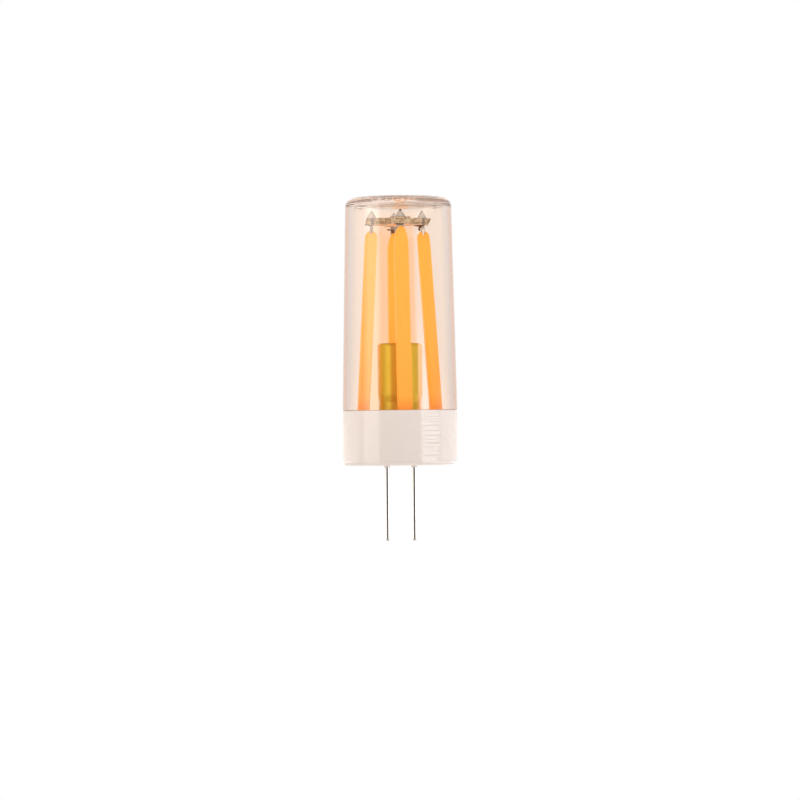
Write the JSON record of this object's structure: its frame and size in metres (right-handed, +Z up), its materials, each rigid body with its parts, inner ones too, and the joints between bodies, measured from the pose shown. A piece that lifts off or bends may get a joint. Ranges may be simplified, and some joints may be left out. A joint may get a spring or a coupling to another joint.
{
  "type": "two-pin filament capsule bulb",
  "caption": "Slim capsule lamp with a white cup base, wire contact pins and a clear drafted cover over splayed yellow filaments and a gold capacitor.",
  "frame": {"origin": "middle of the base's flat seat face, between the two contact pins", "axes": "+Z up along the capsule towards its closed top, X along the line of the pins, +Y to the back"},
  "size_m": [0.017, 0.017, 0.0507],
  "materials": {
    "white_plastic": "moulded white plastic, gloss with faint flow lines",
    "clear_plastic": "clear moulded plastic, polished",
    "pin_wire": "tinned wire",
    "link_laminate": "routed glass-fibre laminate with a woven edge",
    "board_laminate": "glass-fibre laminate",
    "can_aluminium": "drawn can",
    "gold_film": "shrunk gold film",
    "bung_rubber": "black rubber",
    "lead_wire": "tinned wire",
    "package_resin": "moulded black resin",
    "chip_ceramic": "ceramic chip with plated ends",
    "yellow_silicone": "silicone filled with phosphor, satin",
    "strip_metal": "plated strip",
    "solder": "dull solder"
  },
  "bodies": {
    "root": {"base_shell": "white_plastic", "bleed_resistor": "chip_ceramic", "bridge_rectifier": "package_resin", "capacitor_bung": "bung_rubber", "capacitor_can": "can_aluminium", "capacitor_lead_back": "lead_wire", "capacitor_lead_front": "lead_wire", "capacitor_sleeve": "gold_film", "clear_cover": "clear_plastic", "contact_pin_left": "pin_wire", "contact_pin_right": "pin_wire", "driver_board": "board_laminate", "driver_chip": "package_resin", "filament_jacket_back": "yellow_silicone", "filament_jacket_front": "yellow_silicone", "filament_jacket_left": "yellow_silicone", "filament_jacket_right": "yellow_silicone", "filament_strip_back": "strip_metal", "filament_strip_front": "strip_metal", "filament_strip_left": "strip_metal", "filament_strip_right": "strip_metal", "link_board": "link_laminate", "link_solder_back": "solder", "link_solder_front": "solder", "link_solder_left": "solder", "link_solder_right": "solder", "sense_resistor": "chip_ceramic"}
  },
  "joints": []
}
